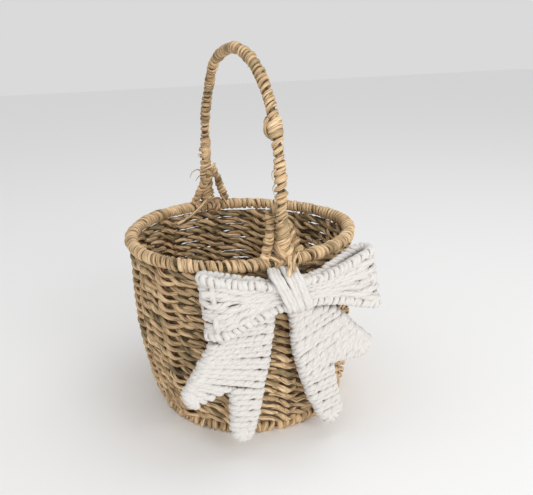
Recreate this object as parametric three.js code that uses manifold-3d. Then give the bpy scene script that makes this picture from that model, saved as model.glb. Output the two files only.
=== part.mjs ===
// Flower girl basket: seagrass woven on a wire frame, with a fixed arched handle and a white cord bow.
// Millimetres. The origin is the centre of the base on the floor, +Z is up and the bow hangs on the -Y side.
import * as THREE from "three";
import { mergeVertices } from "three/addons/utils/BufferGeometryUtils.js";
import Module from "manifold-3d";

const wasm = await Module();
wasm.setup();

// Clearance between neighbouring pieces.
const GAP = 0.35;

// Body: hoops, wraps and stakes. A wire or wrap size is the distance from its centre line to its flats.
const RIM_RADIUS = 95;
const RIM_HEIGHT = 151;
const RIM_WIRE = 2;
const RIM_WRAP = 5;
const BASE_RADIUS = 79;
const BASE_WIRE = 1.75;
const BASE_WRAP = 4.4;
const STAKES = 12;
const STAKE_WIRE = 1.6;
const RING_STEPS = 36;
// Centre line of a stake, as radius and height, from the base hoop to the rim hoop.
const STAKE_LINE = [
  [79.3, 7.3],
  [81.8, 13],
  [84, 22],
  [86.5, 42],
  [88.8, 70],
  [90.3, 100],
  [90.8, 128],
  [91.5, 140],
  [93.4, 147.6],
];

// Weft rows, plain weave: in front of one stake and behind the next.
const ROWS = 19;
const FIRST_ROW = 12.6;
const ROW_PITCH = 7.2;
const ROPE_DEPTH = 2.6;
const ROPE_HEIGHT = 3.1;
const ROPE_SWING = 4.75;

// Base: a woven disc laid over a star of six crossing wires.
const SPOKE_WIRE = 1.5;
const SPOKE_HEIGHT = 3.2;
const DISC_RADIUS = 73.9;
const DISC_LOW = 4.5;
const DISC_HIGH = 5.6;
const DISC_RINGS = 6;
const SPOKE_FLOOR = 1.3;

// Handle: a squarish arch over the rim, in the YZ plane.
const HANDLE_RISE = 153;
const HANDLE_WIRE = 2;
const HANDLE_WRAP = 4.75;
const ARCH_SIDE = 1.89;
const ARCH_TOP = 3.46;
const ARCH_STEPS = 30;
const FOOT_LOW = RIM_HEIGHT + RIM_WIRE + 0.7;
const WRAP_LOW = RIM_HEIGHT + RIM_WRAP + 0.5;
const SPLICE_LOW = 238;
const SPLICE_HIGH = 251;

// Braces: an inverted U of wrapped wire on the inner side of each handle foot.
const BRACE_WIRE = 1.7;
const BRACE_WRAP = 3.6;
const BRACE_APEX = 188;
const BRACE_CROWN = 4.6;
const BRACE_INSET = 80.5;
const BRACE_WRAP_FOOT = 158.1;
const BRACE_WIRE_FOOT = 157.2;
const COLLAR_WALL = 1.1;
const COLLAR_TURNS = 3;
const COLLAR_PITCH = 2.1;

// Bow: two loops of wrapped bars and woven panels, two swallow tails and a knot.
const BAR_WIRE = 1.2;
const BAR_WRAP = 3;
const PANEL_THICK = 3.2;
const LOOP_FRONT = -117.1;
const LOOP_BACK = -110.8;
const LOOP_STEPS = 13;
const WRAP_START = 3.2;
// Each loop: where its wire starts beside the knot, how far out its top and bottom bars reach, then
// distance out, top bar height and bottom bar height.
const LOOPS = {
  left: {
    side: -1,
    inner: 8,
    reach: [66, 61.5],
    edges: [
      [0, 139, 125],
      [15, 140, 124.5],
      [30, 144.5, 119.5],
      [40, 146, 115.5],
      [52, 149, 110],
      [72, 154, 108.5],
    ],
  },
  right: {
    side: 1,
    inner: 1,
    reach: [66.5, 74],
    edges: [
      [0, 140.5, 125.5],
      [24, 142.5, 124.5],
      [40, 147.5, 121.5],
      [56, 153.5, 115.5],
      [76, 157.5, 110.5],
    ],
  },
};
// Each tail: the x of its two wire necks in the knot and the height where each bends into the outline,
// then the corners of the outline in x and z.
const TAIL_Y = -106.3;
const TAIL_THICK = 5;
const TAIL_WIRE = 1.2;
const TAIL_INSET = 2.3;
const TAILS = {
  left: {
    necks: [-8.4, -12.2],
    knees: [110, 114.1],
    outline: [
      [-15, 111.5],
      [-17.5, 91],
      [-21, 70],
      [-27, 46],
      [-33, 22],
      [-42.5, 16],
      [-49.3, 26],
      [-48.3, 61],
      [-78, 53],
      [-85, 65],
      [-63.5, 99],
      [-38, 111.5],
    ],
  },
  right: {
    necks: [0.4, 4.2],
    knees: [109.5, 114.1],
    outline: [
      [0.5, 111.5],
      [2.8, 86],
      [10.5, 54],
      [25, 18],
      [36, 12],
      [43, 24],
      [34.5, 66],
      [61, 67],
      [69, 79],
      [50, 99],
      [36, 113.5],
    ],
  },
};
const KNOT_X = -4;
const KNOT_CORDS = 5;
const KNOT_CORD = 2.2;
const KNOT_PITCH = 4.2;
const KNOT_FRONT = -122.7;
const KNOT_BACK = -102.8;
const KNOT_TOP = 151.8;
const KNOT_BOTTOM = 118.8;
const NECK_TOP = 124;
const TIE_CORD = 1.5;

const iron = new THREE.MeshStandardMaterial({ color: 0x5a3826, roughness: 0.6, metalness: 0.5 });
const seagrass = new THREE.MeshStandardMaterial({ color: 0xae9064, roughness: 0.85, metalness: 0 });
const cord = new THREE.MeshStandardMaterial({ color: 0xf2efe9, roughness: 0.9, metalness: 0 });

const X = new THREE.Vector3(1, 0, 0);
const Y = new THREE.Vector3(0, 1, 0);
const Z = new THREE.Vector3(0, 0, 1);
const at = (x, y, z) => new THREE.Vector3(x, y, z);
const around = (angle, radius, z) => at(Math.sin(angle) * radius, -Math.cos(angle) * radius, z);

// A regular polygon whose flats lie at the given distance, optionally stretched to another half height.
function round(flat, sides = 6) {
  const reach = flat / Math.cos(Math.PI / sides);
  return Array.from({ length: sides }, (_, i) => {
    const angle = ((i + 0.5) / sides) * 2 * Math.PI;
    return [Math.cos(angle) * reach, Math.sin(angle) * reach];
  });
}

// A closed surface through rings of equal size. The last ring joins the first in a loop; otherwise both are capped.
function skin(rings, loop) {
  const size = rings[0].length;
  const position = rings.flatMap((ring) => ring.flatMap((point) => point.toArray()));
  const index = [];
  const spans = loop ? rings.length : rings.length - 1;
  for (let i = 0; i < spans; i++) {
    const here = i * size;
    const next = ((i + 1) % rings.length) * size;
    for (let j = 0; j < size; j++) {
      const k = (j + 1) % size;
      index.push(here + j, here + k, next + k);
      index.push(here + j, next + k, next + j);
    }
  }
  if (!loop) {
    const last = (rings.length - 1) * size;
    for (let j = 1; j < size - 1; j++) {
      index.push(0, j + 1, j);
      index.push(last, last + j, last + j + 1);
    }
  }
  const geometry = new THREE.BufferGeometry();
  geometry.setAttribute("position", new THREE.Float32BufferAttribute(position, 3));
  geometry.setIndex(index);
  return geometry;
}

// A section carried along a path. side is the direction of the section's first axis, or a function of the point.
function sweep(path, section, side, loop = false, scale = () => 1) {
  const count = path.length;
  const rings = path.map((point, i) => {
    const before = loop ? path[(i + count - 1) % count] : path[Math.max(i - 1, 0)];
    const after = loop ? path[(i + 1) % count] : path[Math.min(i + 1, count - 1)];
    const ahead = after.clone().sub(before).normalize();
    const first = (typeof side === "function" ? side(point, i) : side).clone();
    first.addScaledVector(ahead, -first.dot(ahead)).normalize();
    const second = ahead.clone().cross(first);
    return section.map(([a, b]) =>
      point.clone().addScaledVector(first, a * scale(i)).addScaledVector(second, b * scale(i)),
    );
  });
  return skin(rings, loop);
}

// A closed profile of radius and height turned round a vertical axis.
function turned(profile, steps, x = 0, y = 0) {
  const area = profile.reduce((sum, [r, z], i) => {
    const [nextR, nextZ] = profile[(i + 1) % profile.length];
    return sum + r * nextZ - nextR * z;
  }, 0);
  const ordered = area > 0 ? [...profile].reverse() : profile;
  const rings = Array.from({ length: steps }, (_, i) => {
    const angle = (i / steps) * 2 * Math.PI;
    return ordered.map(([r, z]) => around(angle, r, z).add(at(x, y, 0)));
  });
  return skin(rings, true);
}

function solid(geometry) {
  const merged = mergeVertices(geometry, 1e-4);
  const corners = [];
  for (let i = 0; i < merged.index.count; i += 3) {
    const [a, b, c] = [0, 1, 2].map((k) => merged.index.getX(i + k));
    if (a !== b && b !== c && a !== c) corners.push(a, b, c);
  }
  const vertProperties = merged.attributes.position.array;
  return new wasm.Manifold(new wasm.Mesh({ numProp: 3, vertProperties, triVerts: new Uint32Array(corners) }));
}

function surface(body) {
  const mesh = body.getMesh();
  const geometry = new THREE.BufferGeometry();
  geometry.setAttribute("position", new THREE.Float32BufferAttribute(mesh.vertProperties, 3));
  geometry.setIndex(Array.from(mesh.triVerts));
  return geometry;
}

const cut = (body, tools) => tools.reduce((left, tool) => left.subtract(tool), body);
const join = (bodies) => bodies.reduce((all, body) => all.add(body));

const basket = new THREE.Group();
basket.name = "flower_girl_basket";

function piece(name, geometry, material) {
  const mesh = new THREE.Mesh(geometry, material);
  mesh.name = name;
  basket.add(mesh);
}

const numbered = (stem, i) => `${stem}_${String(i + 1).padStart(2, "0")}`;

// Points of an arc round the Z axis, anticlockwise from above, so that sections keep their outer side outwards.
const circle = (radius, z, steps) =>
  Array.from({ length: steps }, (_, i) => around((i / steps) * 2 * Math.PI, radius, z));
const outwards = (point) => at(point.x, point.y, 0).normalize();

// Value of one column of a table of rows, read straight between its first-column stops.
function along(table, x, column) {
  const next = table.findIndex((row) => row[0] >= x);
  if (next <= 0) return table[next === 0 ? 0 : table.length - 1][column];
  const [low, high] = [table[next - 1], table[next]];
  return low[column] + ((x - low[0]) / (high[0] - low[0])) * (high[column] - low[column]);
}

// A polyline with each corner replaced by a short bend.
function bent(points, radius, loop = false, steps = 3) {
  const count = points.length;
  return points.flatMap((corner, i) => {
    if (!loop && (i === 0 || i === count - 1)) return [corner];
    const before = points[(i + count - 1) % count];
    const after = points[(i + 1) % count];
    const reach = Math.min(radius, corner.distanceTo(before) / 2.1, corner.distanceTo(after) / 2.1);
    const from = corner.clone().addScaledVector(before.clone().sub(corner).normalize(), reach);
    const to = corner.clone().addScaledVector(after.clone().sub(corner).normalize(), reach);
    return new THREE.QuadraticBezierCurve3(from, corner, to).getPoints(steps);
  });
}

// Stakes and hoops.
const stakeCurve = new THREE.SplineCurve(STAKE_LINE.map(([r, z]) => new THREE.Vector2(r, z)));
const stakeProfile = stakeCurve.getPoints(160);

// Radius of the wall's middle at a height, and the lean of the wall there.
function wallAt(z) {
  const next = Math.max(1, stakeProfile.findIndex((point) => point.y >= z));
  const [low, high] = [stakeProfile[next - 1], stakeProfile[next]];
  const run = high.clone().sub(low);
  const radius = low.x + (run.x * (z - low.y)) / run.y;
  return { radius, lean: Math.atan2(run.x, run.y) };
}

const stakeAngle = (k) => (k / STAKES) * 2 * Math.PI;
const stakePath = (k) => stakeCurve.getPoints(10).map((point) => around(stakeAngle(k), point.x, point.y));
const stakeSide = (k) => at(Math.cos(stakeAngle(k)), Math.sin(stakeAngle(k)), 0);

for (let k = 0; k < STAKES; k++) {
  piece(numbered("stake", k), sweep(stakePath(k), round(STAKE_WIRE), stakeSide(k)), iron);
}
const hoop = (radius, z, wire, sides) =>
  sweep(circle(radius, z, RING_STEPS), round(wire, sides), outwards, true);
piece("rim_hoop", hoop(RIM_RADIUS, RIM_HEIGHT, RIM_WIRE), iron);
piece("base_hoop", hoop(BASE_RADIUS, BASE_WRAP, BASE_WIRE), iron);

// A straight drill along a stake's end, long enough to reach the hoop.
function stakeBore(k, end) {
  const path = stakePath(k);
  const [inner, outer] = end === "top" ? path.slice(-2) : [path[1], path[0]];
  const ahead = outer.clone().sub(inner).normalize();
  const from = outer.clone().addScaledVector(ahead, -6);
  const to = outer.clone().addScaledVector(ahead, 1.6);
  return solid(sweep([from, to], round(STAKE_WIRE + GAP, 8), stakeSide(k)));
}
const everyStake = Array.from({ length: STAKES }, (_, k) => k);

const footBore = (side) =>
  solid(
    sweep(
      [at(0, side * RIM_RADIUS, RIM_HEIGHT + 1), at(0, side * RIM_RADIUS, RIM_HEIGHT + RIM_WRAP + 2)],
      round(HANDLE_WIRE + GAP, 8),
      X,
    ),
  );
const rimWrap = cut(solid(hoop(RIM_RADIUS, RIM_HEIGHT, RIM_WRAP, 8)), [
  solid(hoop(RIM_RADIUS, RIM_HEIGHT, RIM_WIRE + GAP)),
  ...everyStake.map((k) => stakeBore(k, "top")),
  footBore(-1),
  footBore(1),
]);
piece("rim_wrap", surface(rimWrap), seagrass);

const spokeBore = (k) =>
  solid(
    sweep(
      [around(stakeAngle(k), DISC_RADIUS - 3, SPOKE_HEIGHT), around(stakeAngle(k), BASE_RADIUS - 0.5, SPOKE_HEIGHT)],
      round(SPOKE_WIRE + GAP, 8),
      Z,
    ),
  );
const baseWrap = cut(solid(hoop(BASE_RADIUS, BASE_WRAP, BASE_WRAP, 8)), [
  solid(hoop(BASE_RADIUS, BASE_WRAP, BASE_WIRE + GAP)),
  ...everyStake.map((k) => stakeBore(k, "bottom")),
  ...everyStake.map(spokeBore),
]);
piece("base_wrap", surface(baseWrap), seagrass);

// Base disc and the star of wires it is woven on.
const spokeEnd = BASE_RADIUS - BASE_WIRE - 2 * GAP;
const spokePath = (k, reach) => [
  around(stakeAngle(k), -reach, SPOKE_HEIGHT),
  around(stakeAngle(k), reach, SPOKE_HEIGHT),
];
const spokes = everyStake.slice(0, STAKES / 2);
piece(
  "base_star",
  surface(join(spokes.map((k) => solid(sweep(spokePath(k, spokeEnd), round(SPOKE_WIRE), Z))))),
  iron,
);
const discTop = Array.from({ length: DISC_RINGS * 2 }, (_, i) => [
  DISC_RADIUS * (1 - i / (DISC_RINGS * 2)),
  i % 2 ? DISC_HIGH : DISC_LOW,
]);
const disc = solid(turned([[0, 0], [DISC_RADIUS, 0], ...discTop, [0, DISC_HIGH]], 24));
const grooves = spokes.map((k) =>
  wasm.Manifold.cube([2 * DISC_RADIUS + 4, 2 * (SPOKE_WIRE + 2 * GAP), DISC_HIGH], true)
    .rotate([0, 0, 90 + (k * 360) / STAKES])
    .translate([0, 0, SPOKE_FLOOR + DISC_HIGH / 2]),
);
piece("base_weave", surface(cut(disc, [join(grooves)])), seagrass);

// Weft rows. The rope crosses the wall's middle half way between two stakes.
const rope = [
  [ROPE_DEPTH, 0.45 * ROPE_HEIGHT],
  [0, ROPE_HEIGHT],
  [-ROPE_DEPTH, 0.45 * ROPE_HEIGHT],
  [-ROPE_DEPTH, -0.45 * ROPE_HEIGHT],
  [0, -ROPE_HEIGHT],
  [ROPE_DEPTH, -0.45 * ROPE_HEIGHT],
];
for (let i = 0; i < ROWS; i++) {
  const z = FIRST_ROW + i * ROW_PITCH;
  const { radius, lean } = wallAt(z);
  const path = Array.from({ length: 2 * STAKES }, (_, j) => {
    const swing = j % 2 ? 0 : ROPE_SWING * ((i + j / 2) % 2 ? -1 : 1);
    return around(stakeAngle(j / 2), radius + swing * Math.cos(lean), z - swing * Math.sin(lean));
  });
  const normal = (point) => outwards(point).multiplyScalar(Math.cos(lean)).add(at(0, 0, -Math.sin(lean)));
  piece(numbered("weft_row", i), sweep(path, rope, normal, true), seagrass);
}

// Handle.
const arch = Array.from({ length: ARCH_STEPS + 1 }, (_, i) => {
  const turn = (i / ARCH_STEPS) * Math.PI;
  const across = Math.cos(turn);
  const y = -RIM_RADIUS * Math.sign(across) * Math.abs(across) ** (2 / ARCH_SIDE);
  return at(0, y, RIM_HEIGHT + HANDLE_RISE * Math.abs(Math.sin(turn)) ** (2 / ARCH_TOP));
}).slice(1, -1);
const archFrom = (low) => [at(0, -RIM_RADIUS, low), ...arch, at(0, RIM_RADIUS, low)];
piece("handle_wire", sweep(archFrom(FOOT_LOW), round(HANDLE_WIRE), X), iron);
const handleBore = solid(sweep(archFrom(WRAP_LOW - 3), round(HANDLE_WIRE + GAP), X));
const handleWrap = solid(sweep(archFrom(WRAP_LOW), round(HANDLE_WRAP, 8), X));
piece("handle_wrap", surface(handleWrap.subtract(handleBore)), seagrass);

// Splice: a lump of extra turns on the front limb.
const frontLimb = arch.slice(0, 6);
const limbAt = (z) => {
  const next = frontLimb.findIndex((point) => point.z >= z);
  const [low, high] = [frontLimb[next - 1], frontLimb[next]];
  return low.clone().lerp(high, (z - low.z) / (high.z - low.z));
};
const spliceRadii = [1.24, 1.5, 1.32, 1.62, 1.36, 1.5, 1.22];
const splicePath = spliceRadii.map((_, i) =>
  limbAt(SPLICE_LOW + ((SPLICE_HIGH - SPLICE_LOW) * i) / (spliceRadii.length - 1)),
);
const splice = solid(sweep(splicePath, round(HANDLE_WRAP, 8), X, false, (i) => spliceRadii[i]));
const spliceBore = solid(sweep(archFrom(WRAP_LOW), round(HANDLE_WRAP + GAP, 8), X));
piece("handle_splice", surface(splice.subtract(spliceBore)), seagrass);

// Braces and lashings at the two feet.
function brace(name, side, feet) {
  const middle = (feet[0] + feet[1]) / 2;
  const crown = [-BRACE_CROWN, BRACE_CROWN].map((x) => at(middle + x, side * BRACE_INSET, BRACE_APEX));
  const foot = (i, z) => {
    const y = side * Math.sqrt(RIM_RADIUS ** 2 - feet[i] ** 2);
    const share = (BRACE_APEX - z) / (BRACE_APEX - BRACE_WIRE_FOOT);
    return crown[i].clone().lerp(at(feet[i], y, BRACE_WIRE_FOOT), share);
  };
  const path = (z) => bent([foot(0, z), ...crown, foot(1, z)], BRACE_CROWN, false, 4);
  piece(`${name}_brace_wire`, sweep(path(BRACE_WIRE_FOOT), round(BRACE_WIRE), Y), iron);
  const wrap = solid(sweep(path(BRACE_WRAP_FOOT), round(BRACE_WRAP, 8), Y));
  const bore = solid(sweep(path(BRACE_WIRE_FOOT - 4), round(BRACE_WIRE + GAP), Y));
  piece(`${name}_brace_wrap`, surface(wrap.subtract(bore)), seagrass);
  const inner = HANDLE_WRAP + 2 * GAP;
  const turns = Array.from({ length: COLLAR_TURNS }, (_, i) => [
    [inner + COLLAR_WALL * 0.4, WRAP_LOW + i * COLLAR_PITCH],
    [inner + COLLAR_WALL, WRAP_LOW + (i + 0.5) * COLLAR_PITCH],
  ]).flat();
  const top = WRAP_LOW + COLLAR_TURNS * COLLAR_PITCH;
  const profile = [[inner, WRAP_LOW], ...turns, [inner + COLLAR_WALL * 0.4, top], [inner, top]];
  piece(`${name}_lashing`, turned(profile, 16, 0, side * RIM_RADIUS), seagrass);
}
brace("front", -1, [-14, 14]);
brace("back", 1, [-14, 19]);

// Bow loops. Seen from above each is a U, from the knot out along the front and back along the rear.
function loopLine(side, inner, reach) {
  const stops = [
    [inner, LOOP_FRONT],
    [30, LOOP_FRONT + 0.2],
    [50, LOOP_FRONT + 1.2],
    [reach - 6, LOOP_FRONT + 3.6],
    [reach - 0.6, LOOP_FRONT + 8],
    [reach - 0.8, LOOP_FRONT + 13],
    [reach - 6, LOOP_FRONT + 17.6],
    [48, LOOP_BACK + 9],
    [30, LOOP_BACK + 4],
    [16, LOOP_BACK + 0.2],
    [inner, LOOP_BACK],
  ];
  return new THREE.CatmullRomCurve3(
    stops.map(([out, y]) => at(side * out, y, 0)),
    false,
    "centripetal",
  ).getSpacedPoints(LOOP_STEPS);
}

for (const [name, { side, inner, reach, edges }] of Object.entries(LOOPS)) {
  const edge = (start, column) =>
    loopLine(side, start, reach[column - 1]).map((point) =>
      at(point.x, point.y, along(edges, Math.abs(point.x), column)),
    );
  const whole = [1, 2].map((column) => edge(inner, column));
  const covered = [1, 2].map((column) => edge(inner + WRAP_START, column));
  const post = [...[...whole[1]].reverse(), ...whole[0]];
  const bends = bent([post[LOOP_STEPS - 1], post[LOOP_STEPS], post[LOOP_STEPS + 1], post[LOOP_STEPS + 2]], 2.4);
  const wirePath = [...post.slice(0, LOOP_STEPS), ...bends.slice(1, -1), ...post.slice(LOOP_STEPS + 2)];
  const across = (point, i) => (Math.abs(i - LOOP_STEPS - 3.5) < 5 ? Y : Z.clone().addScaledVector(Y, 1e-3));
  piece(`${name}_loop_wire`, sweep(wirePath, round(BAR_WIRE), (point, i) => across(point, i)), iron);
  for (const [bar, column] of [["top", 1], ["bottom", 2]]) {
    const wrap = solid(sweep(covered[column - 1], round(BAR_WRAP, 8), Z));
    const bore = solid(sweep(whole[column - 1], round(BAR_WIRE + GAP), Z));
    piece(`${name}_loop_${bar}_wrap`, surface(wrap.subtract(bore)), cord);
  }
  const clear = BAR_WRAP + 3 * GAP;
  const [top, bottom] = covered;
  const rings = top.map((high, i) => {
    const before = top[Math.max(i - 1, 0)];
    const after = top[Math.min(i + 1, LOOP_STEPS)];
    const normal = after.clone().sub(before).setZ(0).normalize().cross(Z).multiplyScalar(PANEL_THICK / 2);
    const share = clear / high.distanceTo(bottom[i]);
    const corner = (sign, part) => bottom[i].clone().lerp(high, part).addScaledVector(normal, sign);
    return [corner(1, share), corner(-1, share), corner(-1, 1 - share), corner(1, 1 - share)];
  });
  piece(`${name}_loop_panel`, skin(rings, false), cord);
}

// An outline moved inwards by a distance, corner by corner.
function inset(points, distance) {
  const area = points.reduce((sum, [x, z], i) => {
    const [nextX, nextZ] = points[(i + 1) % points.length];
    return sum + x * nextZ - nextX * z;
  }, 0);
  const turn = Math.sign(area);
  return points.map((point, i) => {
    const here = new THREE.Vector2(...point);
    const arrive = here.clone().sub(new THREE.Vector2(...points[(i + points.length - 1) % points.length]));
    const leave = new THREE.Vector2(...points[(i + 1) % points.length]).sub(here);
    const normals = [arrive, leave].map((run) => new THREE.Vector2(-run.y, run.x).normalize());
    const middle = normals[0].clone().add(normals[1]).normalize();
    const reach = (turn * distance) / Math.max(0.5, middle.dot(normals[0]));
    return here.addScaledVector(middle, reach);
  });
}

// Swallow tails: an outline wire whose two necks run up into the knot, and the woven panel inside it.
for (const [name, { necks, knees, outline }] of Object.entries(TAILS)) {
  const edge = inset(outline, TAIL_INSET).map((point) => at(point.x, TAIL_Y, point.y));
  const wirePath = bent(
    [at(necks[0], TAIL_Y, NECK_TOP), at(necks[0], TAIL_Y, knees[0]), ...edge,
      at(necks[1], TAIL_Y, knees[1]), at(necks[1], TAIL_Y, NECK_TOP)],
    2.5,
    false,
    2,
  );
  piece(`${name}_tail_wire`, sweep(wirePath, round(TAIL_WIRE), Y), iron);
  const infill = inset(outline, TAIL_INSET + TAIL_WIRE + 2 * GAP);
  const corners = bent(infill.map((point) => at(point.x, point.y, 0)), 3, true, 2);
  const shape = new THREE.Shape(corners.map((point) => new THREE.Vector2(point.x, point.y)));
  const panel = new THREE.ExtrudeGeometry(shape, { depth: TAIL_THICK, bevelEnabled: false });
  panel.rotateX(Math.PI / 2);
  panel.translate(0, TAIL_Y + TAIL_THICK / 2, 0);
  panel.deleteAttribute("normal");
  panel.deleteAttribute("uv");
  piece(`${name}_tail_panel`, panel, cord);
}

// Knot: cords side by side round the middle of the bow, drilled for the tail necks.
const knotCorners = [
  [KNOT_FRONT, KNOT_BOTTOM],
  [KNOT_FRONT, KNOT_TOP],
  [KNOT_BACK, KNOT_TOP],
  [KNOT_BACK, KNOT_BOTTOM],
];
const knotCord = (i) => {
  const x = KNOT_X + (i - (KNOT_CORDS - 1) / 2) * KNOT_PITCH;
  const path = bent(knotCorners.map(([y, z]) => at(x, y, z)), 4, true, 2);
  return solid(sweep(path, round(KNOT_CORD, 6), X, true));
};
const neckBores = Object.values(TAILS).flatMap(({ necks }) =>
  necks.map((x) =>
    solid(sweep([at(x, TAIL_Y, KNOT_BOTTOM - 6), at(x, TAIL_Y, NECK_TOP)], round(TAIL_WIRE + GAP, 8), Y)),
  ),
);
const knot = join(Array.from({ length: KNOT_CORDS }, (_, i) => knotCord(i)));
piece("bow_knot", surface(cut(knot, neckBores)), cord);

// Tie: one seagrass strand from the front lashing down over the knot.
const tieTop = KNOT_TOP + KNOT_CORD + TIE_CORD + 2 * GAP;
const tieFront = KNOT_FRONT - KNOT_CORD - TIE_CORD - 2 * GAP;
const tiePath = new THREE.CatmullRomCurve3([
  at(1, -RIM_RADIUS - 9.2, 164),
  at(-1, -RIM_RADIUS - 13, tieTop + 1.6),
  at(-3.5, KNOT_FRONT + 3, tieTop + 0.5),
  at(-5.5, tieFront - 0.3, KNOT_TOP - 1),
  at(-6.5, tieFront, KNOT_TOP - 9),
]).getPoints(9);
piece("tie_strand", sweep(tiePath, round(TIE_CORD), X), seagrass);

export default basket;
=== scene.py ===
"""A flower girl basket of woven seagrass with a white cord bow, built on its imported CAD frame.

Lengths are millimetres until Strands.mesh turns them into metres. The stage, lights and camera are in metres.
+Z is up and the bow hangs on the -Y side. A tone runs from 0, the darkest seagrass, to 1, the reddest.
"""

import math

import bpy
import numpy as np
from mathutils import Matrix, Vector


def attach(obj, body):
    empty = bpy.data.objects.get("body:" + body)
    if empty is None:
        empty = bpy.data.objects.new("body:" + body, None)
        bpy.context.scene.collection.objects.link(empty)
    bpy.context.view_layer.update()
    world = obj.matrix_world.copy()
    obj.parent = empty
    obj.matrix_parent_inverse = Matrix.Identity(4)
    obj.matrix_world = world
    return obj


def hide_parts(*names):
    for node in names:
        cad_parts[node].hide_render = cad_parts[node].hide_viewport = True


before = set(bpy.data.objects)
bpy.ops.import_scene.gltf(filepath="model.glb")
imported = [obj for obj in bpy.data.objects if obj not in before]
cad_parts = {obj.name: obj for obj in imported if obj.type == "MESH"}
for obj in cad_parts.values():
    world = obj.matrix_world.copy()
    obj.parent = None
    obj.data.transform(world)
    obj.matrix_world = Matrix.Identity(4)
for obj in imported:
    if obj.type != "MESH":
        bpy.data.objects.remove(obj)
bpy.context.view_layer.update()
MM = 0.001
TAU = 2 * math.pi
ACROSS, DEPTH, UP = (1, 0, 0), (0, 1, 0), (0, 0, 1)

# Sizes shared with the CAD.
RIM_RADIUS = 95.0
RIM_HEIGHT = 151.0
RIM_CORE = 3.1
BASE_RADIUS = 79.0
BASE_HEIGHT = 4.4
BASE_RINGS = 11
STAKES = 12
STAKE_WIRE = 1.6
STAKE_LINE = [(79.3, 7.3), (81.8, 13), (84, 22), (86.5, 42), (88.8, 70), (90.3, 100), (90.8, 128),
              (91.5, 140), (93.4, 147.6)]
ROWS = 19
FIRST_ROW = 12.6
ROW_PITCH = 7.2
HANDLE_RISE = 153.0
ARCH_SIDE = 1.89
ARCH_TOP = 3.46
LOOP_FRONT = -117.1
LOOP_BACK = -110.8
TAIL_Y = -106.3
LADDER_CORD = 2.65
TIP_CORD = 2.3

# Tones of the seagrass, both painted shade: the first colours the dark sheet in the gaps between the rows, the
# second the dark core seen between the turns of a wrap.
GAP_SHADE_TONE = 0.04
CORE_SHADE_TONE = 0.06


# ---------------------------------------------------------------- helpers for paths

def unit(vectors):
    vectors = np.asarray(vectors, float)
    return vectors / np.maximum(np.linalg.norm(vectors, axis=-1, keepdims=True), 1e-9)


def wave(t, rng, low, high, count=5):
    """Smooth noise of about -1 to 1 over t from 0 to 1, the same at both ends."""
    turns = rng.integers(low, high + 1, count)
    phase = rng.uniform(0, TAU, count)
    return np.cos(TAU * np.outer(t, turns) + phase).sum(1) / math.sqrt(count)


def spline(points, closed=False, fine=24):
    """A Catmull-Rom curve through the points."""
    p = np.asarray(points, float)
    if closed:
        p = np.vstack([p[-1], p, p[0], p[1]])
    else:
        p = np.vstack([2 * p[0] - p[1], p, 2 * p[-1] - p[-2]])
    t = np.linspace(0, 1, fine, endpoint=False)[:, None]
    spans = []
    for a, b, c, d in zip(p[:-3], p[1:-2], p[2:-1], p[3:]):
        spans.append(0.5 * (2 * b + (c - a) * t + (2 * a - 5 * b + 4 * c - d) * t**2
                            + (3 * b - a - 3 * c + d) * t**3))
    curve = np.vstack(spans)
    return curve if closed else np.vstack([curve, p[-2]])


def evenly(path, step=None, count=None, closed=False):
    """The path resampled at even distances."""
    p = np.vstack([path, path[:1]]) if closed else np.asarray(path, float)
    reach = np.concatenate([[0], np.cumsum(np.linalg.norm(np.diff(p, axis=0), axis=1))])
    if count is None:
        count = max(8, int(round(reach[-1] / step)))
    at = np.linspace(0, reach[-1], count, endpoint=not closed)
    return np.stack([np.interp(at, reach, p[:, k]) for k in range(3)], 1)


def axes_of(path, first, closed):
    """Unit tangent and the two section axes at each point."""
    if closed:
        ahead = np.roll(path, -1, 0) - np.roll(path, 1, 0)
    else:
        ahead = np.gradient(path, axis=0)
    ahead = unit(ahead)
    first = np.broadcast_to(np.asarray(first(path) if callable(first) else first, float), path.shape)
    first = unit(first - (first * ahead).sum(1, keepdims=True) * ahead)
    return ahead, first, np.cross(ahead, first)


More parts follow.
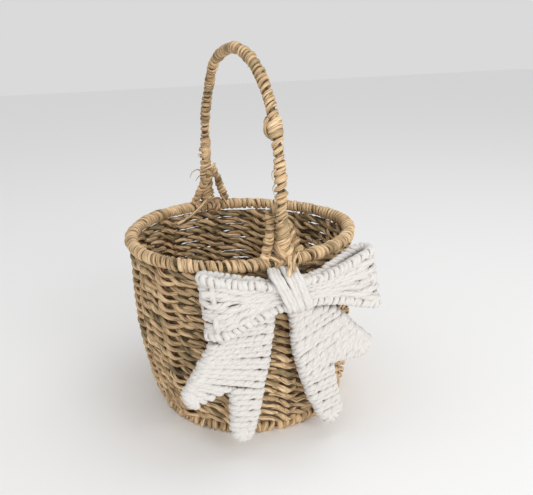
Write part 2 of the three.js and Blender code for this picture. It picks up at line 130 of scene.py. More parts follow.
class Strands:
    """Strands gathered into one mesh. Each carries a tone and coordinates that run along its fibres."""

    def __init__(self):
        self.points, self.quads, self.tones, self.fibres = [], [], [], []
        self.count = 0

    def add(self, path, first, wide, thick, tone, rng, closed=False, sides=10, spin=None, offset=0.0,
            squash=(1.0, 1.0), ridge=0.07, lobes=0, lobe=0.0):
        """A strand along the path. wide and thick are half sizes along its first and second axis.

        spin turns the section as it goes, and offset moves it off the path along its turned first axis.
        With lobes the section stays put and a wave of that many lobes turns round it instead.
        """
        n = len(path)
        along = np.concatenate([[0], np.cumsum(np.linalg.norm(np.diff(path, axis=0), axis=1))])
        share = along / max(along[-1], 1e-6)
        ahead, a, b = axes_of(path, first, closed)
        around = np.arange(sides) / sides * TAU
        grain = np.tile(around, (n, 1))
        wide = np.broadcast_to(np.asarray(wide, float), n)[:, None]
        thick = np.broadcast_to(np.asarray(thick, float), n)[:, None]
        spin = np.zeros(n) if spin is None else spin
        start = rng.uniform(0, TAU, 2)[:, None]
        drift = start + 0.9 * np.stack([wave(share, rng, 1, 4), wave(share, rng, 1, 5)])
        coarse = np.cos(3 * around + drift[0][:, None])
        fine = np.cos(5 * around + drift[1][:, None])
        shape = 1 + ridge * (coarse + 0.7 * fine)
        if lobes:
            shape = shape + lobe * np.cos(lobes * (around - spin[:, None]))
            grain = grain - spin[:, None]
            spin = np.zeros(n)
        u = np.broadcast_to(np.asarray(offset, float), n)[:, None] + wide * shape * np.cos(around)
        v = thick * shape * np.sin(around)
        c, s = np.cos(spin)[:, None], np.sin(spin)[:, None]
        across = (u * c - v * s) * squash[0]
        up = (u * s + v * c) * squash[1]
        if not closed:
            for ring in (0, -1):
                across[ring] *= 0.05
                up[ring] *= 0.05
        verts = path[:, None] + a[:, None] * across[..., None] + b[:, None] * up[..., None]
        ring = np.arange(n if closed else n - 1)[:, None] * sides
        after = (ring + sides) % (n * sides)
        j = np.arange(sides)[None]
        k = (j + 1) % sides
        quads = np.stack([ring + j, ring + k, after + k, after + j], -1).reshape(-1, 4)
        self.points.append(verts.reshape(-1, 3))
        self.quads.append(quads + self.count)
        self.count += n * sides
        self.tones.append(np.repeat(np.broadcast_to(np.asarray(tone, float), n), sides))
        where = np.stack([np.repeat(along, sides), np.cos(grain).ravel(), np.sin(grain).ravel()], 1)
        where[:, 1] += rng.uniform(0, 60)
        self.fibres.append(where)

    def mesh(self, name):
        points = np.vstack(self.points) * MM
        points[:, 2] = np.maximum(points[:, 2], 0.0)  # what rests on the floor is flattened against it
        quads = np.vstack(self.quads).astype(np.int32)
        mesh = bpy.data.meshes.new(name)
        mesh.vertices.add(len(points))
        mesh.vertices.foreach_set("co", points.astype(np.float32).ravel())
        mesh.loops.add(quads.size)
        mesh.loops.foreach_set("vertex_index", quads.ravel())
        mesh.polygons.add(len(quads))
        mesh.polygons.foreach_set("loop_start", np.arange(0, quads.size, 4, dtype=np.int32))
        mesh.polygons.foreach_set("use_smooth", np.ones(len(quads), bool))
        mesh.update(calc_edges=True)
        tone = mesh.attributes.new("tone", "FLOAT", "POINT")
        tone.data.foreach_set("value", np.concatenate(self.tones).astype(np.float32))
        fibre = mesh.attributes.new("fibre", "FLOAT_VECTOR", "POINT")
        fibre.data.foreach_set("vector", np.vstack(self.fibres).astype(np.float32).ravel())
        return mesh


def piece(name, strands, material, nodes):
    """Makes the object, puts it on the basket and has it stand for its CAD nodes."""
    obj = bpy.data.objects.new(name, strands.mesh(name))
    bpy.context.scene.collection.objects.link(obj)
    obj.data.materials.append(material)
    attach(obj, "root")
    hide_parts(*nodes)
    return obj


def rope(strands, path, first, rng, tone, size, squash, lay=0.0, sides=10, parted=None):
    """A closed rope of two plies twisted round the path, one turn in each lay.

    Without a lay it is woven round the stakes, one and a half turns from each to the next, so that one ply
    passes before a stake and one behind it. parted, 1 at a stake and 0 between, draws them apart there.
    """
    n = len(path)
    along = np.concatenate([[0], np.cumsum(np.linalg.norm(np.diff(path, axis=0), axis=1))])
    t = np.arange(n) / n
    turns = max(1, round(along[-1] / lay)) if lay else 1.5 * STAKES
    if parted is None:
        parted = np.zeros(n)
    spin = TAU * turns * t + 0.6 * wave(t, rng, 4, 30) * (1 - 0.7 * parted)
    swell = 1 + 0.08 * wave(t, rng, 3, 14)
    for ply in range(2):
        thin = 1 + 0.09 * wave(t, rng, 4, 16)
        shade = tone + 0.15 * rng.uniform(-1, 1) + 0.17 * wave(t, rng, 2, 12)
        wide = (0.52 - 0.06 * parted) * size * swell * thin
        thick = (0.60 + 0.26 * parted) * size * swell * thin
        strands.add(path, first, wide, thick, shade, rng, True, sides, spin + TAU * ply / 2,
                    (0.50 + 0.56 * parted) * size, squash, ridge=0.12)


def wind(strands, core, first, radius, pitch, rng, tone, wide, thick, steps, sides=10, closed=False, lump=0.5,
         lean=0.35, hand=1, ridge=0.09, spread=0.2):
    """A strip wound round a core in turns of uneven width, lean and height.

    wide is the strip's width as a share of the pitch, thick its half thickness, and hand, 1 or -1, the way
    it turns.
    """
    core = evenly(core, 0.8, closed=closed)
    ahead, a, b = axes_of(core, first, closed)
    span = np.linalg.norm(np.diff(core, axis=0), axis=1).sum()
    if closed:
        span += np.linalg.norm(core[0] - core[-1])
    turns = max(2, int(round(span / pitch)))
    n = turns * steps
    at = np.arange(n) / n if closed else np.linspace(0, 1, n)
    index = at * (len(core) if closed else len(core) - 1)
    low = np.floor(index).astype(int)
    high = (low + 1) % len(core) if closed else np.minimum(low + 1, len(core) - 1)
    part = (index - low)[:, None]

    def blended(values):
        return values[low % len(core)] * (1 - part) + values[high] * part

    centre, ahead, a, b = blended(core), unit(blended(ahead)), unit(blended(a)), unit(blended(b))

    def per_turn(values):
        where = at * turns
        if closed:
            return np.interp(where, np.arange(turns + 1), np.append(values, values[0]))
        return np.interp(where, np.arange(turns), values)

    angle = hand * TAU * turns * at
    width = pitch * 0.5 * wide * (1 + per_turn(rng.uniform(-spread, spread, turns)))
    high_off = lump * per_turn(rng.uniform(-0.6, 1, turns)) + 0.25 * lump * np.cos(2 * angle + 1)
    slide = pitch * 0.22 * per_turn(rng.uniform(-1, 1, turns))
    slide = slide + pitch * lean * np.cos(angle + per_turn(rng.uniform(-0.7, 0.7, turns)) * 1.2)
    shade = tone + 0.26 * per_turn(rng.uniform(-1, 1, turns)) + 0.05 * np.cos(3 * angle)
    r = (radius + thick * 0.5 + high_off)[:, None]
    path = centre + (a * np.cos(angle)[:, None] + b * np.sin(angle)[:, None]) * r + ahead * slide[:, None]
    bulk = thick * (1 + 0.25 * per_turn(rng.uniform(-1, 1, turns)))
    strands.add(path, ahead, width, bulk, shade, rng, closed, sides, ridge=ridge)


# ---------------------------------------------------------------- the basket's own irregular shape

# The left side, as a direction in plan, bulges at mid height and draws in low down; the base sits off centre.
LEFT = (-0.927, 0.375)
LEFT_BULGE = 0.17
LEFT_DRAW = 0.060
BASE_SHIFT = (3.4, -1.2)


def settle(points):
    """The warp of a handmade body: a millimetre or two at the rim, a few more lower down on the left."""
    p = np.array(points, float)
    angle = np.arctan2(p[:, 0], -p[:, 1])
    radius = np.hypot(p[:, 0], p[:, 1])
    up = np.clip(p[:, 2] / RIM_HEIGHT, 0, 1)
    grow = 1 + up * (0.008 * np.cos(2 * angle + 0.6) + 0.006 * np.cos(3 * angle + 2.0))
    p[:, 0] *= grow
    p[:, 1] *= grow
    lift = up * np.clip(radius / RIM_RADIUS, 0, 1.2) * (0.9 * np.cos(2 * angle - 0.8) + 0.6 * np.sin(angle))
    p[:, 2] += lift
    low = 1 - up
    left = np.clip((LEFT[1] * p[:, 1] + LEFT[0] * p[:, 0]) / 90, 0, 1)
    sides = 1 + left * (LEFT_BULGE * up * (1 - up) - LEFT_DRAW * low**2)
    p[:, 0] *= sides
    p[:, 1] *= sides
    p[:, 0] += BASE_SHIFT[0] * low
    p[:, 1] += BASE_SHIFT[1] * low
    return p


def circle(radius, z, count):
    angle = np.arange(count) / count * TAU
    return np.stack([np.sin(angle) * radius, -np.cos(angle) * radius, np.full(count, z)], 1)


def outwards(points):
    flat = np.array(points, float)
    flat[:, 2] = 0
    return unit(flat)


stake_curve = spline([(r, 0, z) for r, z in STAKE_LINE])


def wall_radius(z):
    return np.interp(z, stake_curve[:, 2], stake_curve[:, 0])


# ---------------------------------------------------------------- materials

def new_material(name):
    material = bpy.data.materials.new(name)
    material.use_nodes = True
    tree = material.node_tree
    shader = tree.nodes["Principled BSDF"]
    return material, tree, shader


def node(tree, kind, **settings):
    made = tree.nodes.new(kind)
    for key, value in settings.items():
        setattr(made, key, value)
    return made


def stretched_noise(tree, scale, detail):
    """Noise drawn out along the strands' fibres."""
    fibre = node(tree, "ShaderNodeAttribute", attribute_name="fibre")
    size = node(tree, "ShaderNodeVectorMath", operation="MULTIPLY")
    size.inputs[1].default_value = scale
    noise = node(tree, "ShaderNodeTexNoise")
    noise.inputs["Scale"].default_value = 1.0
    noise.inputs["Detail"].default_value = detail
    noise.inputs["Roughness"].default_value = 0.6
    tree.links.new(fibre.outputs["Vector"], size.inputs[0])
    tree.links.new(size.outputs["Vector"], noise.inputs["Vector"])
    return noise


def ramp(tree, stops):
    made = node(tree, "ShaderNodeValToRGB")
    bar = made.color_ramp
    while len(bar.elements) < len(stops):
        bar.elements.new(0.5)
    for element, (position, colour) in zip(bar.elements, stops):
        element.position = position
        element.color = (*colour, 1)
    return made


def multiplied(tree, first, second):
    made = node(tree, "ShaderNodeMix", data_type="RGBA", blend_type="MULTIPLY")
    made.inputs[0].default_value = 1.0
    tree.links.new(first, made.inputs[6])
    tree.links.new(second, made.inputs[7])
    return made.outputs[2]


def seagrass_material(name):
    material, tree, shader = new_material(name)
    tone = node(tree, "ShaderNodeAttribute", attribute_name="tone")
    patches = stretched_noise(tree, (0.05, 0.35, 0.35), 3.0)
    total = node(tree, "ShaderNodeMath", operation="MULTIPLY_ADD")
    total.inputs[1].default_value = 0.55
    tree.links.new(patches.outputs["Fac"], total.inputs[0])
    tree.links.new(tone.outputs["Fac"], total.inputs[2])
    shift = node(tree, "ShaderNodeMath", operation="SUBTRACT")
    shift.inputs[1].default_value = 0.275
    tree.links.new(total.outputs[0], shift.inputs[0])
    colours = ramp(tree, [
        (0.00, (0.080, 0.052, 0.028)),
        (0.20, (0.375, 0.292, 0.160)),
        (0.40, (0.630, 0.452, 0.262)),
        (0.58, (0.785, 0.575, 0.345)),
        (0.78, (0.880, 0.685, 0.440)),
        (1.00, (0.740, 0.440, 0.225)),
    ])
    tree.links.new(shift.outputs[0], colours.inputs[0])
    streaks = stretched_noise(tree, (0.09, 1.5, 1.5), 3.0)
    dark = ramp(tree, [
        (0.34, (0.24, 0.19, 0.14)),
        (0.49, (0.84, 0.80, 0.75)),
        (0.70, (1.16, 1.14, 1.10)),
    ])
    tree.links.new(streaks.outputs["Fac"], dark.inputs[0])
    base = multiplied(tree, colours.outputs[0], dark.outputs[0])
    tree.links.new(base, shader.inputs["Base Color"])
    rough = node(tree, "ShaderNodeMapRange")
    rough.inputs["To Min"].default_value = 0.48
    rough.inputs["To Max"].default_value = 0.78
    tree.links.new(streaks.outputs["Fac"], rough.inputs["Value"])
    tree.links.new(rough.outputs[0], shader.inputs["Roughness"])
    bump = node(tree, "ShaderNodeBump")
    bump.inputs["Strength"].default_value = 0.55
    bump.inputs["Distance"].default_value = 0.0007
    tree.links.new(streaks.outputs["Fac"], bump.inputs["Height"])
    tree.links.new(bump.outputs[0], shader.inputs["Normal"])
    shader.inputs["Specular IOR Level"].default_value = 0.35
    return material


def cord_material(name):
    material, tree, shader = new_material(name)
    streaks = stretched_noise(tree, (0.30, 1.9, 1.9), 4.0)
    colours = ramp(tree, [
        (0.25, (0.60, 0.565, 0.53)),
        (0.50, (0.70, 0.675, 0.65)),
        (0.80, (0.77, 0.75, 0.73)),
    ])
    tree.links.new(streaks.outputs["Fac"], colours.inputs[0])
    patches = stretched_noise(tree, (0.03, 0.12, 0.12), 2.0)
    warmth = ramp(tree, [(0.30, (0.965, 0.955, 0.93)), (0.70, (1, 1, 1))])
    tree.links.new(patches.outputs["Fac"], warmth.inputs[0])
    base = multiplied(tree, colours.outputs[0], warmth.outputs[0])
    tree.links.new(base, shader.inputs["Base Color"])
    shader.inputs["Roughness"].default_value = 0.82
    shader.inputs["Specular IOR Level"].default_value = 0.25
    shader.inputs["Sheen Weight"].default_value = 0.15
    shader.inputs["Sheen Roughness"].default_value = 0.5
    bump = node(tree, "ShaderNodeBump")
    bump.inputs["Strength"].default_value = 0.35
    bump.inputs["Distance"].default_value = 0.0005
    tree.links.new(streaks.outputs["Fac"], bump.inputs["Height"])
    tree.links.new(bump.outputs[0], shader.inputs["Normal"])
    return material


def iron_material(name):
    material, tree, shader = new_material(name)
    place = node(tree, "ShaderNodeTexCoord")
    noise = node(tree, "ShaderNodeTexNoise")
    noise.inputs["Scale"].default_value = 260.0
    noise.inputs["Detail"].default_value = 5.0
    tree.links.new(place.outputs["Object"], noise.inputs["Vector"])
    colours = ramp(tree, [
        (0.30, (0.13, 0.055, 0.028)),
        (0.55, (0.26, 0.115, 0.060)),
        (0.80, (0.34, 0.165, 0.090)),
    ])
    tree.links.new(noise.outputs["Fac"], colours.inputs[0])
    tree.links.new(colours.outputs[0], shader.inputs["Base Color"])
    shader.inputs["Metallic"].default_value = 0.1
    shader.inputs["Roughness"].default_value = 0.5
    bump = node(tree, "ShaderNodeBump")
    bump.inputs["Strength"].default_value = 0.3
    bump.inputs["Distance"].default_value = 0.0002
    tree.links.new(noise.outputs["Fac"], bump.inputs["Height"])
    tree.links.new(bump.outputs[0], shader.inputs["Normal"])
    return material


SEAGRASS = seagrass_material("seagrass")
CORD = cord_material("white_cord")
IRON = iron_material("painted_iron")


# ---------------------------------------------------------------- body

def make_stakes(rng):
    for k in range(STAKES):
        angle = k / STAKES * TAU
        z = np.linspace(STAKE_LINE[0][1], STAKE_LINE[-1][1], 60)
        r = wall_radius(z)
        path = settle(np.stack([np.sin(angle) * r, -np.cos(angle) * r, z], 1))
        wire = Strands()
        wire.add(path, (math.cos(angle), math.sin(angle), 0), STAKE_WIRE, STAKE_WIRE, 0.5, rng, ridge=0.01)
        name = f"stake_{k + 1:02d}"
        piece(name, wire, IRON, [name])


def make_rows(rng):
    """Rows of pairing weave. A thin dark sheet inside each, painted shade, closes most of the gap to the next.
    """
    count = 31 * STAKES
    t = np.arange(count) / count
    angle = t * TAU
    at_stake = 0.5 + 0.5 * np.cos(STAKES * angle)
    for i in range(ROWS):
        z = FIRST_ROW + i * ROW_PITCH
        radius = wall_radius(z) + 0.35 * wave(t, rng, 2, 9) * (1 - at_stake)
        height = z + 0.45 * wave(t, rng, 2, 11) - 0.9 * at_stake**2
        path = np.stack([np.sin(angle) * radius, -np.cos(angle) * radius, height], 1)
        tone = 0.48 + 0.09 * rng.uniform(-1, 1)
        strands = Strands()
        rope(strands, settle(path), outwards(path), rng, tone, 3.3, (1.05, 1.0), parted=at_stake**3)
        # The dark sheet is painted shade in the gaps between the rows, not a real part of the weave.
        shade_sheet = 3.85 + 0.4 * wave(t, rng, 20, 90)
        strands.add(settle(path), outwards(path), 0.9, shade_sheet, GAP_SHADE_TONE, rng, closed=True, sides=6, ridge=0.0)
        name = f"weft_row_{i + 1:02d}"
        piece(name, strands, SEAGRASS, [name])


def make_hoop(name, core, wire, shade_core, rng):
    """The hoop of wire itself, and the strands of its wrap with only a dark core inside it, painted shade for
    the gaps between the turns.
    """
    hoop = Strands()
    hoop.add(core, outwards(core), wire, wire, 0.5, rng, closed=True, ridge=0.0)
    piece(name, hoop, IRON, [name])
    strands = Strands()
    # A dark core, painted shade seen between the turns of the wrap.
    strands.add(core, outwards(core), shade_core, shade_core, CORE_SHADE_TONE, rng, closed=True, sides=12, ridge=0.03)
    return strands


def make_rim(rng):
    core = settle(circle(RIM_RADIUS, RIM_HEIGHT, 240))
    strands = make_hoop("rim_hoop", core, 2.0, 3.2, rng)
    wind(strands, core, outwards, RIM_CORE, 4.7, rng, 0.55, wide=0.80, thick=1.5, steps=24, closed=True,
         lump=0.6, lean=0.34, spread=0.3, ridge=0.13)
    piece("rim_wrap", strands, SEAGRASS, ["rim_wrap"])


def make_base(rng):
    core = settle(circle(BASE_RADIUS, BASE_HEIGHT, 240))
    strands = make_hoop("base_hoop", core, 1.75, 2.7, rng)
    wind(strands, core, outwards, 2.7, 5.8, rng, 0.50, wide=0.84, thick=2.0, steps=24, closed=True, lump=0.35,
         lean=0.38, spread=0.3, hand=-1)
    piece("base_wrap", strands, SEAGRASS, ["base_wrap"])
    shift = settle(np.zeros((1, 3)))[0]
    star = Strands()
    for k in range(STAKES // 2):
        a = k / STAKES * TAU
        run = np.array([math.sin(a), -math.cos(a), 0])
        path = np.outer(np.linspace(-76, 76, 60), run) + shift + (0, 0, 3.4)
        star.add(path, (0, 0, 1), 1.3, 1.3, 0.5, rng, sides=8, ridge=0.0)
    piece("base_star", star, IRON, ["base_star"])
    disc = Strands()
    for i in range(BASE_RINGS):
        radius = 7 + i * 6.35
        count = max(60, int(radius * TAU / 1.7))
        t = np.arange(count) / count
        side = 1 if i % 2 == 0 else -1
        path = circle(radius, 3.35, count) + shift
        path[:, 2] += 0.55 * side * np.cos(6 * t * TAU)
        rope(disc, path, outwards(path - shift), rng, 0.47, 2.9, (1.12, 0.86), lay=25, sides=8)
    middle = spline([(-6, 0, 3.3), (0, -2.2, 3.6), (6, 0, 3.3), (0, 2.2, 3.0)], True)
    middle = evenly(middle, 1.2, closed=True) + shift
    rope(disc, middle, (0, 0, 1), rng, 0.45, 2.4, (0.9, 1.0), lay=27, sides=8)
    piece("base_weave", disc, SEAGRASS, ["base_weave"])


# ---------------------------------------------------------------- handle

def arch_core():
    turn = np.linspace(0.0, math.pi, 400)
    across = np.cos(turn)
    y = -RIM_RADIUS * np.sign(across) * np.abs(across)**(2 / ARCH_SIDE)
    z = RIM_HEIGHT + 5.5 + (HANDLE_RISE - 5.5) * np.abs(np.sin(turn))**(2 / ARCH_TOP)
    return np.stack([np.zeros_like(y), y, z], 1)


def wisp(strands, rng, points, size):
    """A loose fibre that has come away from a wrap."""
    path = evenly(spline(points), 0.6)
    thin = np.linspace(1.0, 0.35, len(path))
    strands.add(path, (0.3, 0.2, 1), size * 1.4 * thin, size * thin, 0.35, rng, sides=6, ridge=0.05)


# Loose fibres by the handle: points and thickness.
WISPS = [
    ([(-4, 95, 186), (-9, 94, 189), (-15, 92, 187), (-18, 91, 182)], 0.45),
    ([(-4, 95, 183), (-8, 94, 182), (-12, 93, 178)], 0.4),
    ([(-4, 95, 203), (-6.5, 95, 204), (-7, 95, 200.5)], 0.3),
    ([(-4, -95, 222), (-7.5, -95, 219), (-6.8, -95, 214), (-4, -95, 212)], 0.35),
    ([(-4, -95, 212), (-7, -95, 208), (-6.4, -95, 204), (-5.5, -95, 202)], 0.35),
    ([(-4, -95, 193), (-6, -95, 195), (-8.5, -95, 198)], 0.35),
    ([(3, -28, 294), (3, -27, 290), (2, -25, 289)], 0.3),
]
# The lump on the front limb: its reach in height, and two closed coils round its middle.
LUMP = (241, 254)
LUMP_KNOT = [(-5, 3, 7), (-4.5, 7.5, 4), (-1, 9, -1), (2, 7.5, -5), (1, 4.5, -7), (-3, 5.8, -6),
             (-5.4, 6.6, -1)]
LUMP_BALL = [(-3, 8, 2), (1.5, 9.4, -2), (0, 8.6, -6), (-4, 7.2, -4)]


def make_handle(rng):
    core = evenly(arch_core(), 1.0)
    wobble = 0.55 * np.stack([wave(np.linspace(0, 1, len(core)), rng, 1, 7) for _ in range(3)], 1)
    steps_in = np.minimum(np.arange(len(core)), np.arange(len(core))[::-1])
    core = core + wobble * np.clip(steps_in / 30, 0, 1)[:, None]
    wire = Strands()
    wire.add(core, ACROSS, 2.0, 2.0, 0.5, rng, ridge=0.0)
    piece("handle_wire", wire, IRON, ["handle_wire"])

    wrap = Strands()
    # A dark core under the wrap, painted shade seen between its turns.
    wrap.add(core, ACROSS, 2.6, 2.6, CORE_SHADE_TONE, rng, sides=12, ridge=0.04)
    wind(wrap, core, ACROSS, 2.3, 5.3, rng, 0.47, wide=0.70, thick=1.45, steps=26, lump=0.8, lean=0.12,
         spread=0.3, ridge=0.14)
    wind(wrap, core, ACROSS, 2.6, 9.4, rng, 0.42, wide=0.20, thick=0.9, steps=26, sides=8, lump=0.8,
         lean=0.16, spread=0.4, ridge=0.14)
    front_foot = [(0, -RIM_RADIUS, z) for z in np.linspace(160, 182, 30)]
    wind(wrap, front_foot, ACROSS, 2.7, 5.4, rng, 0.46, wide=0.8, thick=1.3, steps=26, lump=0.8, lean=0.3,
         spread=0.4, ridge=0.14)
    back_foot = [(0, RIM_RADIUS, z) for z in np.linspace(160, 212, 50)]
    wind(wrap, back_foot, ACROSS, 3.4, 5.8, rng, 0.50, wide=0.8, thick=1.5, steps=26, lump=1.0, lean=0.3,
         spread=0.4, ridge=0.14)
    for points, size in WISPS:
        wisp(wrap, rng, points, size)
    piece("handle_wrap", wrap, SEAGRASS, ["handle_wrap"])

    lump = Strands()
    limb = core[(core[:, 1] < 0) & (core[:, 2] > LUMP[0]) & (core[:, 2] < LUMP[1])]
    wind(lump, limb, ACROSS, 3.6, 5.0, rng, 0.50, wide=0.8, thick=1.3, steps=26, lean=0.25)
    middle = limb[len(limb) // 2]
    for points, wide, thick, tone in ((LUMP_KNOT, 1.9, 1.4, 0.45), (LUMP_BALL, 2.0, 1.5, 0.38)):
        coil = evenly(spline([middle + v for v in points], True), 1.0, closed=True)
        lump.add(coil, (0, 1, 0.3), wide, thick, tone, rng, closed=True)
    piece("handle_splice", lump, SEAGRASS, ["handle_splice"])


# Each foot's side of the basket, and where its brace stands on the rim in x.
FEET = {"front": (-1, (-14, 14)), "back": (1, (-14, 19))}
BRACE_Y = 80.5
BRACE_CROWN = [(-4.5, 183), (-2.2, 187.6), (2.2, 187.6), (4.5, 183)]
# Strips tied round a foot, each also mirrored: points from the foot with y outwards and z up from the rim,
# then half width, half thickness and tone.
STRIPS = [
    ([(-12, -5.5, -3), (-11, 0, -6), (-8, 6, -3), (-2, 6.4, 4), (5, 4.8, 11), (5.6, -1, 14), (0, -5.8, 13)],
     1.9, 0.75, 0.6),
    ([(-9, -6, 0), (-7, -5.8, -4), (-6, 0, -6.2), (-3, 6.2, -2), (3, 6.4, 6), (6, 0, 10), (2, -6, 10),
      (-5, -6, 4)], 1.7, 0.7, 0.5),
    ([(-14, 0, 6), (-9, 5, 4.6), (-4, 6.6, 0), (2, 6, -5), (5, 0, -6.4), (8, -5.6, -1), (11, -3, 5)],
     1.8, 0.7, 0.66),
]
# The two strips that hang loose inside the back foot.
LOOSE_STRIPS = [
    ([(2, -5, 12), (-6, -6.5, 5), (-14, -7.5, -2), (-26, -9.5, -8), (-36, -14, -11)], 1.6, 0.8, 0.62),
    ([(9, -4, 24), (12, -5, 14), (17, -6, 4), (21, -6.8, -3)], 2.0, 0.8, 0.72),
]


def strip(tie, side, rng, points, wide, thick, tone):
    """A flat strip on a foot, with its flat face turned to the foot."""
    out = side * RIM_RADIUS
    path = evenly(spline([(x, out + side * y, RIM_HEIGHT + z) for x, y, z in points]), 1.0)
    facing = unit(path - np.array([0, out, RIM_HEIGHT + 3]))
    ahead = unit(np.gradient(path, axis=0))
    shade = tone + 0.12 * rng.uniform(-1, 1)
    tie.add(path, np.cross(ahead, facing), wide, thick, shade, rng, sides=8, ridge=0.1)


def make_feet(rng):
    for name, (side, feet) in FEET.items():
        middle = (feet[0] + feet[1]) / 2
        tops = [(x, side * math.sqrt(RIM_RADIUS**2 - x**2), 155.5) for x in feet]
        near = [(x * 0.52 + middle * 0.48, side * (BRACE_Y + 8.0), 174) for x in feet]
        crown = [(middle + x, side * (BRACE_Y + 0.6), z) for x, z in BRACE_CROWN]
        core = evenly(spline([tops[0], near[0], *crown, near[1], tops[1]]), 0.8)
        wire = Strands()
        wire.add(core, DEPTH, 1.7, 1.7, 0.5, rng, sides=8, ridge=0.0)
        piece(f"{name}_brace_wire", wire, IRON, [f"{name}_brace_wire"])
        wrap = Strands()
        # A dark core under the brace wrap, painted shade seen between its turns.
        wrap.add(core, DEPTH, 2.0, 2.0, 0.15, rng, ridge=0.04)
        wind(wrap, core, DEPTH, 1.7, 5.2, rng, 0.40, wide=0.84, thick=1.4, steps=22, lump=0.55)
        piece(f"{name}_brace_wrap", wrap, SEAGRASS, [f"{name}_brace_wrap"])
        tie = Strands()
        for mirror in (-1, 1):
            for points, wide, thick, tone in STRIPS:
                strip(tie, side, rng, [(x * mirror, y, z) for x, y, z in points], wide, thick, tone)
        out = side * RIM_RADIUS
        wind(tie, [(0, out, 156), (0, out, 168)], ACROSS, 4.2, 3.4, rng, 0.50, wide=1.1, thick=0.9, steps=24,
             sides=8, lump=0.35, lean=0.5)
        if name == "back":
            limb = [(1, 92, z) for z in (180, 184, 188, 192)]
            wind(tie, limb, ACROSS, 6.2, 3.0, rng, 0.6, wide=0.9, thick=1.1, steps=26, sides=8, lump=1.2,
                 lean=0.9, spread=0.4)
            for points, wide, thick, tone in LOOSE_STRIPS:
                strip(tie, side, rng, points, wide, thick, tone)
        piece(f"{name}_lashing", tie, SEAGRASS, [f"{name}_lashing"])


# ---------------------------------------------------------------- bow

def twisted(strands, path, first, size, spin, rng, closed=False):
    """A soft cord of two plies that bulge a little."""
    size = np.broadcast_to(np.asarray(size, float), len(path))
    for ply in range(2):
        strands.add(path, first, 0.66 * size, 0.86 * size, 0.5, rng, closed, spin=spin + math.pi * ply,
                    offset=0.34 * size, ridge=0.05)


# Each loop's side, where its bars start, how far the top and bottom bars reach, and its edges as stations:
# distance from the middle, height of the top bar, height of the bottom bar.
LOOPS = {
    "left": {
        "side": -1,
        "inner": 8,
        "reach": (67.5, 64),
        "edges": [(0, 139, 125), (15, 140, 124.5), (30, 144.5, 119.5), (40, 146, 115.5), (52, 149, 110),
                  (72, 154, 108.5)],
    },
    "right": {
        "side": 1,
        "inner": 1,
        "reach": (66.5, 74),
        "edges": [(0, 140.5, 125.5), (24, 142.5, 124.5), (40, 147.5, 121.5), (56, 153.5, 115.5),
                  (76, 157.5, 110.5)],
    },
}
LOOP_CORDS = 9


def loop_line(loop, bar):
    """A bar of a bow loop, 0 the top and 1 the bottom: a U from above that rises and falls with its edge."""
    side, inner, e = loop["side"], loop["inner"], loop["reach"][bar]
    f, b = LOOP_FRONT, LOOP_BACK
    stops = [(inner, f), (30, f + 0.2), (50, f + 1.2), (e - 6, f + 3.6), (e - 0.6, f + 8), (e - 0.8, f + 13),
             (e - 6, f + 17.6), (48, b + 9), (30, b + 4), (16, b + 0.2), (inner, b)]
    line = evenly(spline([(side * x, y, 0) for x, y in stops]), count=150)
    away, *heights = np.array(loop["edges"], float).T
    level = np.interp(np.abs(line[:, 0]), away, heights[bar])
    line[:, 2] = np.convolve(np.pad(level, 4, "edge"), np.ones(9) / 9, "valid")
    return line


def make_loop_panel(name, loop, top, bottom, rng):
    """Cords that run round the loop between its bars, in and out of each other, and meet at the knot."""
    panel = Strands()
    count = len(top)
    share = np.linspace(0, 1, count)
    open_out = np.clip((np.abs(top[:, 0]) - 8) / 42, 0, 1)
    normal = np.cross(unit(np.gradient(top, axis=0) * (1, 1, 0)), UP)
    height = top[:, 2:] - bottom[:, 2:]
    for j in range(LOOP_CORDS):
        drift = 0.035 * wave(share, rng, 1, 5) * open_out
        level = np.clip((j + 0.5) / LOOP_CORDS + drift, 0.03, 0.97)[:, None]
        part = (3.0 + (height - 6.0) * level) / height
        path = bottom * (1 - part) + top * part
        side = 1.1 if j % 2 else -1.1
        weave = side * np.cos(share * TAU * 3.5) * open_out + 0.5 * wave(share, rng, 2, 8) * open_out
        path = path + normal * (weave + (1 - open_out) * rng.uniform(-0.9, 1.4))[:, None]
        size = (1.5 + 1.0 * open_out) * (1 + 0.08 * wave(share, rng, 2, 9))
        spin = -TAU * share * 7.5 + rng.uniform(0, TAU)
        twisted(panel, path, UP, size, spin, rng)
    rib = int(np.argmin(np.abs(np.abs(top[:count // 2, 0]) - (loop["reach"][0] - 5.5))))
    t = np.linspace(0.0, 1.0, 50)[:, None]
    path = bottom[rib] * (1 - t) + top[rib] * t
    path = path + normal[rib] * (-0.4 + 3.0 * np.cos(t * math.pi * LOOP_CORDS * 0.42 + 0.4))
    twisted(panel, path, ACROSS, 2.2, np.linspace(0, 12, len(path)), rng)
    if name == "left":
        stub = spline([(-62, -116.5, 143), (-66, -114.5, 143.6), (-69.6, -112.5, 143)])
        panel.add(evenly(stub, 0.8), UP, 2.4, 2.2, 0.5, rng, sides=12, ridge=0.05)
    piece(f"{name}_loop_panel", panel, CORD, [f"{name}_loop_panel"])


